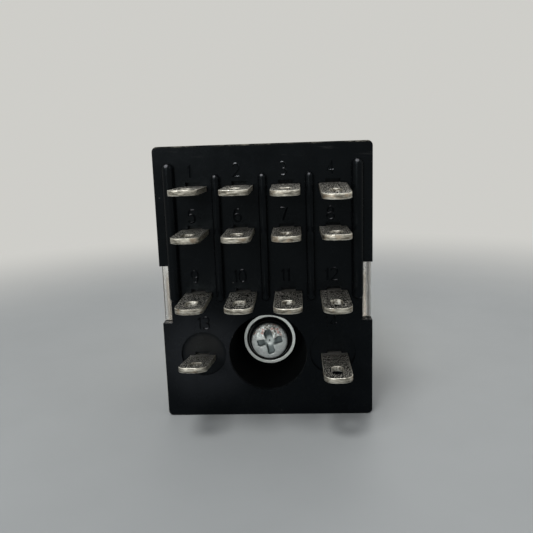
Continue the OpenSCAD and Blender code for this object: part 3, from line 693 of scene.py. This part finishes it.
def clearMoulding():
    finish = coverFinish
    material, tree, shader = newMaterial("clearMoulding", Transmission_Weight=1.0, IOR=finish["index"])
    tint = twoTone(grain(tree, **finish["clouds"]), evenStops, finish["dark"], finish["light"])
    near = behindFace(tree, *finish["lipDepth"])
    aged = both(atHeight(tree, *finish["agedZ"]), near)
    tint = blendColour(aged, tint, finish["aged"])
    x = axisOf(spotOn(tree), 0)
    for side, shade in finish["lip"].items():
        edge, fade = side * finish["lipX"][side] * mm, side * finish["lipFade"] * mm
        lip = both(near, span(x, edge - fade, edge + fade))
        tint = blendColour(lip, tint, shade)
    for side, place in finish["seamX"].items():
        off = maths("ABSOLUTE", maths("SUBTRACT", x, side * place * mm))
        wide = finish["seamWide"][side] * mm
        seam = both(near, span(off, wide, wide / 3))
        tint = blendColour(seam, tint, finish["seam"])
    feed(shader, Base_Color=tint)
    scuffAndGlintGrain = greys(grain(tree, **finish["scuffsAndGlintBreaks"]), finish["scuffStops"], *finish["rough"])
    feed(shader, Roughness=scuffAndGlintGrain)
    path = addNode(tree, "ShaderNodeLightPath")
    through = addNode(tree, "ShaderNodeBsdfTransparent")
    through.inputs["Color"].default_value = finish["shadow"]
    mixShaders(tree, path.outputs["Is Shadow Ray"], shader, through, "Material Output")
    return material


coilFinish = {
    "bobbinDark": (0.62, 0.57, 0.45),
    "bobbinLight": (0.76, 0.72, 0.60),
    "bobbinClouds": {"size": 2.4, "detail": 5},
    "bobbinRough": 0.45,
    "pebble": {"size": 0.12, "detail": 3, "depth": 0.004},
    "wireDark": (0.28, 0.09, 0.03),
    "wireLight": (0.66, 0.28, 0.11),
    "wireStops": (0.1, 0.8),
    "wireMetal": 0.9,
    "wireCoat": 0.5,
    "wireRough": 0.32,
    "turnScale": 0.9,          # sets how closely the turns lie
    "turnWaver": 0.4,
    "turnDeep": 0.05,
    "tapeDark": (0.62, 0.36, 0.05),
    "tapeLight": (0.80, 0.54, 0.10),
    "tapeCoat": 0.4,
    "tapeRough": (0.22, 0.4),
    "wrinkles": {"size": 1.0, "stretch": (1, 0.25, 1), "detail": 5},
    "wrinkleDeep": 0.05,
}


def paleMoulding():
    finish = coilFinish
    material, tree, shader = newMaterial("paleMoulding", Roughness=finish["bobbinRough"])
    cloud = grain(tree, **finish["bobbinClouds"])
    colour = twoTone(cloud, evenStops, finish["bobbinDark"], finish["bobbinLight"])
    feed(shader, Base_Color=colour)
    pebble(shader, **finish["pebble"])
    return material


def woundWire():
    finish = coilFinish
    material, tree, shader = newMaterial("woundWire", Metallic=finish["wireMetal"],
                                         Coat_Weight=finish["wireCoat"], Roughness=finish["wireRough"])
    turns = addNode(tree, "ShaderNodeTexWave", bands_direction="Y")
    mapping = addNode(tree, "ShaderNodeMapping")
    mapping.inputs["Scale"].default_value = [1 / (finish["turnScale"] * mm)] * 3
    tree.links.new(spotOn(tree), mapping.inputs["Vector"])
    tree.links.new(mapping.outputs[0], turns.inputs["Vector"])
    turns.inputs["Scale"].default_value = 1
    turns.inputs["Distortion"].default_value = finish["turnWaver"]
    wave = turns.outputs["Fac"]
    colour = twoTone(wave, finish["wireStops"], finish["wireDark"], finish["wireLight"])
    feed(shader, Base_Color=colour)
    relief(shader, wave, finish["turnDeep"])
    return material


def amberTape():
    finish = coilFinish
    material, tree, shader = newMaterial("amberTape", Coat_Weight=finish["tapeCoat"])
    wrinkle = grain(tree, **finish["wrinkles"])
    colour = twoTone(wrinkle, evenStops, finish["tapeDark"], finish["tapeLight"])
    feed(shader, Base_Color=colour)
    feed(shader, Roughness=greys(wrinkle, evenStops, *finish["tapeRough"]))
    relief(shader, wrinkle, finish["wrinkleDeep"])
    return material


def buildFinishes():
    built = {
        "black_base": blackMoulding("blackMoulding", baseFinish["dark"], baseFinish["light"], wornFace),
        "carrier_plastic": blackMoulding("carrierMoulding", baseFinish["carrierDark"],
                                         baseFinish["carrierLight"]),
        "clear_cover": clearMoulding(),
        "tinned_blade": tinnedBlade(),
        "zinc_screw": zincScrew(),
        "bright_washer": dishedWasher(),
        "black_oxide": splitWasher(),
        "bobbin_plastic": paleMoulding(),
        "copper_wire": woundWire(),
        "coil_tape": amberTape(),
    }
    for slot, kind in metalFinish["kinds"].items():
        built[slot] = plainMetal(*kind)
    return built


def dressNodes():
    for row in frame["record"]["subparts"]:
        mesh = nodes[row["node"]].data
        mesh.materials.clear()
        mesh.materials.append(finishes[row["material_slot"]])


# edges of the solids that catch the light

edgeWork = {
    "weld": 0.002,             # mm
    "flat": 0.2,               # degrees
    "sharp": 40,               # degrees, edges sharper than this are rounded
    "steps": 2,
    "radius": {                # node name start: edge radius in mm
        "base_block": 0.07,
        "nc_terminal": 0.06,
        "no_terminal": 0.06,
        "com_terminal": 0.06,
        "coil_terminal": 0.06,
        "coil_bobbin": 0.08,
        "contact_carrier": 0.08,
        "armature_plate": 0.08,
        "yoke_plate": 0.08,
        "pole_plate": 0.08,
        "moving_spring": 0.03,
        "plain_washer": 0.04,
        "lock_washer": 0.03,
        "clear_cover": 0.12,
    },
}


def softenEdges():
    for name, node in nodes.items():
        for start, radius in edgeWork["radius"].items():
            if name.startswith(start):
                weld = node.modifiers.new("weld", "WELD")
                weld.merge_threshold = edgeWork["weld"] * mm
                flat = node.modifiers.new("flat", "DECIMATE")
                flat.decimate_type = "DISSOLVE"
                flat.angle_limit = math.radians(edgeWork["flat"])
                bevel = node.modifiers.new("bevel", "BEVEL")
                bevel.width = radius * mm
                bevel.segments = edgeWork["steps"]
                bevel.limit_method = "ANGLE"
                bevel.angle_limit = math.radians(edgeWork["sharp"])
                bevel.use_clamp_overlap = True
                bevel.harden_normals = True


# meshes of the added pieces

def finishMesh(name, work, finish, body, smooth=True):
    mesh = bpy.data.meshes.new(name)
    bmesh.ops.recalc_face_normals(work, faces=work.faces)
    work.to_mesh(mesh)
    work.free()
    for face in mesh.polygons:
        face.use_smooth = smooth
    mesh.materials.append(finishes[finish])
    piece = bpy.data.objects.new(name, mesh)
    bpy.context.scene.collection.objects.link(piece)
    if body:
        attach(piece, body)
    return piece


def alongAt(path, i):          # direction of a path of points at one of them
    return (path[min(i + 1, len(path) - 1)] - path[max(i - 1, 0)]).normalized()


def sweep(work, path, radiusX, radiusY, sides, side):      # an elliptic tube with closed ends
    rings = []
    across = Vector(side)
    turns = [math.tau * k / sides for k in range(sides)]
    for i, point in enumerate(path):
        along = alongAt(path, i)
        across = (across - along * across.dot(along)).normalized()
        up = along.cross(across)
        rings.append([work.verts.new(point + across * radiusX * math.cos(a) + up * radiusY * math.sin(a))
                      for a in turns])
    for near, far in zip(rings, rings[1:]):
        for k in range(sides):
            work.faces.new((near[k], near[(k + 1) % sides], far[(k + 1) % sides], far[k]))
    work.faces.new(list(reversed(rings[0])))
    work.faces.new(rings[-1])


def bezier(a, b, c, d, steps):
    points = []
    for k in range(steps + 1):
        s = k / steps
        r = 1 - s
        points.append(a * r ** 3 + b * 3 * r * r * s + c * 3 * r * s * s + d * s ** 3)
    return points


def step01(start, stop, value):        # 0 before start, 1 past stop, smooth between
    t = min(max((value - start) / (stop - start), 0), 1)
    return t * t * (3 - 2 * t)


def depthPoint(x, depth, z):           # x in m, depth behind the blade face and height in mm
    return Vector((x, faceY + depth * mm, z * mm))


# moulded numbers

numbers = {
    "height": 1.2,             # mm
    "width": 0.64,
    "widthOfOne": 0.28,
    "stroke": 0.2,
    "strokeSides": 4,
    "rise": 0.075,
    "gap": 0.22,               # between two digits
    "aside": -0.25,            # from the middle of a column
    "rows": (                  # first number, how many, foot of the row in mm
        (1, 4, 23.95),
        (5, 4, 19.7),
        (9, 4, 13.8),
    ),
    "coilFoot": 9.1,
    "coilX": 6.27,
}


def arc(x, z, rx, rz, start, stop, steps=14):
    angles = [math.radians(start + (stop - start) * k / steps) for k in range(steps + 1)]
    return [(x + rx * math.cos(a), z + rz * math.sin(a)) for a in angles]


digitStrokes = {               # strokes in a box one wide and one high
    "0": [arc(0.5, 0.5, 0.5, 0.5, 90, 450, 28)],
    "1": [[(0.0, 0.78), (0.8, 1.0), (0.8, 0.0)]],
    "2": [arc(0.5, 0.72, 0.48, 0.28, 165, -30) + [(0.02, 0.0), (1.0, 0.0)]],
    "3": [arc(0.48, 0.75, 0.46, 0.25, 150, -90) + arc(0.48, 0.26, 0.52, 0.26, 85, -150)],
    "4": [[(0.74, 0.0), (0.74, 1.0), (0.0, 0.3), (1.0, 0.3)]],
    "5": [[(0.95, 1.0), (0.15, 1.0), (0.08, 0.55)] + arc(0.48, 0.32, 0.52, 0.32, 125, -150)],
    "6": [[(0.85, 0.97)] + arc(0.55, 0.5, 0.55, 0.5, 110, 180, 8)
          + arc(0.5, 0.3, 0.5, 0.3, 180, 540, 24)],
    "7": [[(0.0, 1.0), (1.0, 1.0), (0.35, 0.0)]],
    "8": [arc(0.5, 0.76, 0.4, 0.24, -90, 270, 22), arc(0.5, 0.26, 0.5, 0.26, 90, 450, 24)],
    "9": [arc(0.5, 0.7, 0.5, 0.3, 0, 360, 24) + arc(0.45, 0.5, 0.55, 0.5, 0, -70, 8) + [(0.15, 0.03)]],
}


def mouldNumber(value, x, foot):
    digits = str(value)
    widths = [numbers["widthOfOne"] if digit == "1" else numbers["width"] for digit in digits]
    left = x - (sum(widths) + (len(digits) - 1) * numbers["gap"]) / 2
    work = bmesh.new()
    for digit, width in zip(digits, widths):
        for stroke in digitStrokes[digit]:
            path = [Vector(((left + u * width) * mm, faceY, (foot + v * numbers["height"]) * mm))
                    for u, v in stroke]
            sweep(work, path, numbers["rise"] * mm, numbers["stroke"] / 2 * mm, numbers["strokeSides"],
                  (0, 1, 0))
        left += width + numbers["gap"]
    finishMesh("number_" + digits, work, "black_base", "relay_frame", False)


def mouldNumbers():
    for first, count, foot in numbers["rows"]:
        for i in range(count):
            mouldNumber(first + i, columns[i] / mm + numbers["aside"], foot)
    mouldNumber(13, -numbers["coilX"], numbers["coilFoot"])
    mouldNumber(14, numbers["coilX"], numbers["coilFoot"])
    print("numbers moulded")


# base screw with a worn cross recess

screw = {
    "headD": 3.8,
    "headTop": 3.25,           # mm behind the blade face
    "headHeight": 1.2,
    "headChamfer": 0.1,        # under the head
    "domeR": 4.0,
    "rimR": 0.16,
    "shankD": 2.5,
    "shankEnd": 11.4,
    "tipLen": 0.3,
    "tipIn": 0.4,
    "crossLen": 2.65,
    "crossWide": 0.6,          # at the middle
    "crossFlare": 0.14,        # wider at the ends of the arms
    "crossRound": 0.1,         # narrower again in the last part of an arm
    "crossRoundLen": 0.3,
    "crossDeep": 0.8,
    "crossShallow": 0.5,       # share of the depth left at the ends of the arms
    "crossCore": 0.15,         # full depth within this radius
    "wallSlope": (0.04, -0.07),        # across an arm's edge
    "endSlope": (0.05, -0.1),
    "crossTurn": 9,            # degrees
    "dents": 0.012,
    "dentGrain": 2.8,
    "dentSeed": 3.1,
    "dentOctaves": 4,
    "bruised": 8,              # times deeper on the upper half
    "bruisedBand": (0.2, 1.4),
    "chewed": 0.22,            # how far slips of the driver pushed the cross out of true
    "chewedLow": 0.6,          # share of it on the lower half
    "chewedBand": (-0.2, 1.0),
    "chewedGrain": 1.7,
    "chewedSeeds": (5.3, 9.7),
    "burrX": -0.05,            # a raised nick on the upper edge
    "burrZ": 1.62,
    "burrRise": 0.1,
    "burrSize": 0.22,
    "rings": 72,
    "ringCrowding": 0.9,
    "spokes": 220,
}


def crossDepth(x, z):          # depth of the worn cross at a place on the head, in mm
    low = screw["chewedLow"]
    chewed = screw["chewed"] * (low + (1 - low) * step01(*screw["chewedBand"], z))
    pushX, pushZ = (chewed * noise.noise(Vector((x, z, seed)) * screw["chewedGrain"])
                    for seed in screw["chewedSeeds"])
    x, z = x + pushX, z + pushZ
    turn = math.radians(screw["crossTurn"])
    u = abs(x * math.cos(turn) + z * math.sin(turn))
    v = abs(z * math.cos(turn) - x * math.sin(turn))
    deepest = 0
    reach, wide = screw["crossLen"] / 2, screw["crossWide"] / 2
    shallow = screw["crossShallow"]
    for along, across in ((u, v), (v, u)):
        edge = wide + screw["crossFlare"] / 2 * along / reach
        edge -= screw["crossRound"] * step01(reach - screw["crossRoundLen"], reach, along)
        inside = step01(*(edge + off for off in screw["wallSlope"]), across)
        inside *= step01(*(reach + off for off in screw["endSlope"]), along)
        share = shallow + (1 - shallow) * step01(reach, screw["crossCore"], along)
        deepest = max(deepest, inside * screw["crossDeep"] * share)
    return deepest


def screwHeight(x, z):         # how far the head's face lies below its crown, in mm
    r = math.hypot(x, z)
    rim = screw["headD"] / 2
    drop = screw["domeR"] - math.sqrt(screw["domeR"] ** 2 - min(r, rim) ** 2)
    if r > rim - screw["rimR"]:
        past = (r - rim + screw["rimR"]) / screw["rimR"]
        drop += screw["rimR"] * (1 - math.sqrt(max(1 - past * past, 0)))
    spot = Vector((x, z, screw["dentSeed"])) * screw["dentGrain"]
    rough = noise.fractal(spot, 1.0, 2.0, screw["dentOctaves"])
    rough *= screw["dents"] * (1 + screw["bruised"] * step01(*screw["bruisedBand"], z))
    off = ((x - screw["burrX"]) ** 2 + (z - screw["burrZ"]) ** 2) / screw["burrSize"] ** 2
    burr = screw["burrRise"] * math.exp(-off)
    return drop + crossDepth(x, z) - burr + rough


def turnScrew():
    work = bmesh.new()
    rings, spokes = screw["rings"], screw["spokes"]
    edge, shank = screw["headD"] / 2, screw["shankD"] / 2
    top, end = screw["headTop"], screw["shankEnd"]
    under, chamfer = top + screw["headHeight"], screw["headChamfer"]
    turns = [math.tau * k / spokes for k in range(spokes)]

    def vert(x, z, depth):
        return work.verts.new(Vector((x * mm, faceY + depth * mm, axisZ + z * mm)))

    centre = vert(0, 0, top + screwHeight(0, 0))
    loops = []
    for i in range(1, rings + 1):
        r = edge * (i / rings) ** screw["ringCrowding"]
        spots = [(r * math.cos(a), r * math.sin(a)) for a in turns]
        loops.append([vert(x, z, top + screwHeight(x, z)) for x, z in spots])
    profile = ((edge, under - chamfer), (edge - chamfer, under), (shank, under),
               (shank, end - screw["tipLen"]), (shank - screw["tipIn"], end))
    for r, depth in profile:
        loops.append([vert(r * math.cos(a), r * math.sin(a), depth) for a in turns])
    for k in range(spokes):
        work.faces.new((centre, loops[0][k], loops[0][(k + 1) % spokes]))
    for near, far in zip(loops, loops[1:]):
        for k in range(spokes):
            work.faces.new((near[k], far[k], far[(k + 1) % spokes], near[(k + 1) % spokes]))
    work.faces.new(loops[-1])
    head = finishMesh("worn_screw", work, "zinc_screw", "relay_frame")
    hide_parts("base_screw")
    print("screw turned")


# beads of solder and flexible braided leads

bead = {
    "cuts": 4,
    "swell": 0.16,             # uneven by this share
    "swellGrain": 1.7,
    "skirt": 0.35,             # wider by this share at the foot
    "skirtBand": (0.2, -0.6),
    "lug": (0.75, 0.42, 0.62),         # half sizes in mm
    "lugDepth": 5.25,
    "lugUp": 0.02,             # above the lead
    "weld": (0.62, 0.55, 0.28),
    "weldDepth": 20.05,
    "weldZ": 20.78,
    "weldSeed": 9,
    "post": (0.85, 0.5, 0.5),
    "postDepth": 9.35,
}


def lump(name, centre, size, flat, body, seed):    # flat is the axis that it is squashed along
    work = bmesh.new()
    bmesh.ops.create_icosphere(work, subdivisions=bead["cuts"], radius=1)
    for vert in work.verts:
        swell = 1 + bead["swell"] * noise.noise(vert.co * bead["swellGrain"] + Vector((seed, 0, 0)))
        skirt = 1 + bead["skirt"] * step01(*bead["skirtBand"], vert.co.dot(Vector(flat)))
        shape = Vector([c * swell * (1 if abs(f) > 0.5 else skirt) for c, f in zip(vert.co, flat)])
        vert.co = centre + Vector([s * c * mm for s, c in zip(size, shape)])
    return finishMesh(name, work, "solder", body)


lead = {
    "topDepth": 20.1,          # mm behind the blade face, under the moving spring
    "topZ": 20.52,
    "bowDepth": 14.9,
    "lugDepth": 5.15,
    "lugZ": 15.2,
    "braidR": 0.30,
    "weave": 0.05,
    "strandR": 0.115,
    "strandSides": 6,
    "strandAcross": (0.3, 0.2, 1),
    "strands": 5,              # each way round
    "stagger": 0.25,           # between the two ways, in strands
    "lay": 3.2,                # mm for one turn of a strand
    "rings": 130,
}


def braidLead(i):
    x = columns[i]
    ends = [depthPoint(x, lead["topDepth"], lead["topZ"]), depthPoint(x, lead["bowDepth"], lead["topZ"]),
            depthPoint(x, lead["bowDepth"], lead["lugZ"]), depthPoint(x, lead["lugDepth"], lead["lugZ"])]
    route = bezier(*ends, lead["rings"])
    work = bmesh.new()
    travelled = [0.0]
    for a, b in zip(route, route[1:]):
        travelled.append(travelled[-1] + (b - a).length / mm)
    across = Vector((1, 0, 0))
    strands, strandR = lead["strands"], lead["strandR"] * mm
    for way in (-1, 1):
        for k in range(strands):
            strand = []
            for n, point in enumerate(route):
                up = alongAt(route, n).cross(across)
                turned = math.tau * travelled[n] / lead["lay"]
                a = way * turned + math.tau * (k + lead["stagger"] * way) / strands
                r = (lead["braidR"] + lead["weave"] * way * math.cos(strands * turned)) * mm
                strand.append(point + across * r * math.cos(a) + up * r * math.sin(a))
            sweep(work, strand, strandR, strandR, lead["strandSides"], lead["strandAcross"])
    piece = finishMesh("braided_lead_%d" % (i + 1), work, "braided_copper", None)
    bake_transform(piece)
    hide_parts("pigtail_%d" % (i + 1))


def buildLeads():
    for i, x in enumerate(columns):
        braidLead(i)
        lug = depthPoint(x, bead["lugDepth"], lead["lugZ"] + bead["lugUp"])
        lump("lug_solder_%d" % (9 + i), lug, bead["lug"], (0, 1, 0), "relay_frame", i)
        weld = depthPoint(x, bead["weldDepth"], bead["weldZ"])
        lump("spring_weld_%d" % (1 + i), weld, bead["weld"], (0, 0, -1), "armature", i + bead["weldSeed"])
    print("leads braided")


# return spring with hooked ends

pull = {
    "depth": 31.5,
    "wire": 0.28,
    "wireSides": 10,
    "outside": 2.0,
    "turns": 9,
    "lowZ": 1.9,               # underside of the yoke's tab
    "highZ": 13.6,             # top of the armature's tongue
    "loop": 2.35,              # from a plate's far side to the first turn
    "hook": ((0.55, -0.05, 0.12), (0.2, 0, 0.2), (0.02, 0, 0.1), (0, 0, -0.3)),    # last: past the plate
    "neck": ((0, 0, 0.75), (0.1, 0.1, 0.4)),   # last: short of the first turn
    "perTurn": 22,
}


def coilPull():
    r = (pull["outside"] - pull["wire"]) / 2
    low, high = pull["lowZ"] + pull["loop"], pull["highZ"] - pull["loop"]
    ends = []
    for way, plate, start in ((-1, pull["lowZ"], low), (1, pull["highZ"], high)):
        ends.append([(x, y, plate + way * out) for x, y, out in pull["hook"]]
                    + [(x, y, start + way * out) for x, y, out in pull["neck"]])
    path = ends[0]
    total = pull["turns"] * pull["perTurn"]
    for k in range(total + 1):
        a = math.tau * k / pull["perTurn"]
        path.append((r * math.sin(a), r * math.cos(a), low + (high - low) * k / total))
    path += reversed(ends[1])
    points = [depthPoint(x * mm, pull["depth"] + y, z) for x, y, z in path]
    work = bmesh.new()
    wireR = pull["wire"] / 2 * mm
    sweep(work, points, wireR, wireR, pull["wireSides"], (0, 1, 0))
    piece = finishMesh("pull_spring", work, "spring_steel", None)
    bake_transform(piece)
    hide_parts("return_spring")
    print("return spring coiled")


# coil leads, wrapped and soldered on their posts

wrap = {
    "wire": 0.26,
    "wireSides": 8,
    "wireAcross": (0, 0.3, 1),
    "postX": 6.6,
    "postZ": 6.0,
    "halfX": 0.6,
    "halfZ": 0.25,
    "squareness": 5.0,         # a superellipse hugs the flat post
    "coilX": 4.86,             # leaves the winding here
    "coilDepth": 8.5,
    "start": ((-0.5, 0, 7.6), (0.1, 0.1, 7.2), (0.5, 0.35, 6.9)),      # from there outwards, and height
    "startTurn": 150,          # degrees
    "firstDepth": 8.9,
    "lastDepth": 7.4,
    "turns": 4,
    "perTurn": 32,
}


def wrapLead(number, side):
    r = wrap["wire"] / 2
    path = [(wrap["coilX"] + out, wrap["coilDepth"] + deep, z) for out, deep, z in wrap["start"]]
    power, total = wrap["squareness"], wrap["turns"] * wrap["perTurn"]
    for k in range(total + 1):
        a = math.tau * k / wrap["perTurn"] + math.radians(wrap["startTurn"])
        c, s = math.cos(a), math.sin(a)
        reach = (abs(c) ** power + abs(s) ** power) ** (-1 / power)
        x = wrap["postX"] + (wrap["halfX"] + r) * reach * c
        z = wrap["postZ"] + (wrap["halfZ"] + r) * reach * s
        path.append((x, wrap["firstDepth"] + (wrap["lastDepth"] - wrap["firstDepth"]) * k / total, z))
    points = [depthPoint(side * x * mm, depth, z) for x, depth, z in path]
    work = bmesh.new()
    sweep(work, points, r * mm, r * mm, wrap["wireSides"], wrap["wireAcross"])
    piece = finishMesh("wrapped_lead_%d" % number, work, "braided_copper", "relay_frame")
    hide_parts("coil_lead_%d" % number)
    post = depthPoint(side * wrap["postX"] * mm, bead["postDepth"], wrap["postZ"])
    lump("post_solder_%d" % number, post, bead["post"], (0, 1, 0), "relay_frame", number)


def buildCoilLeads():
    wrapLead(13, -1)
    wrapLead(14, 1)
    print("coil leads wrapped")


finishes = buildFinishes()
placeCamera()
buildStudio()
dressNodes()
softenEdges()
print("nodes dressed")
mouldNumbers()
turnScrew()
buildLeads()
coilPull()
buildCoilLeads()
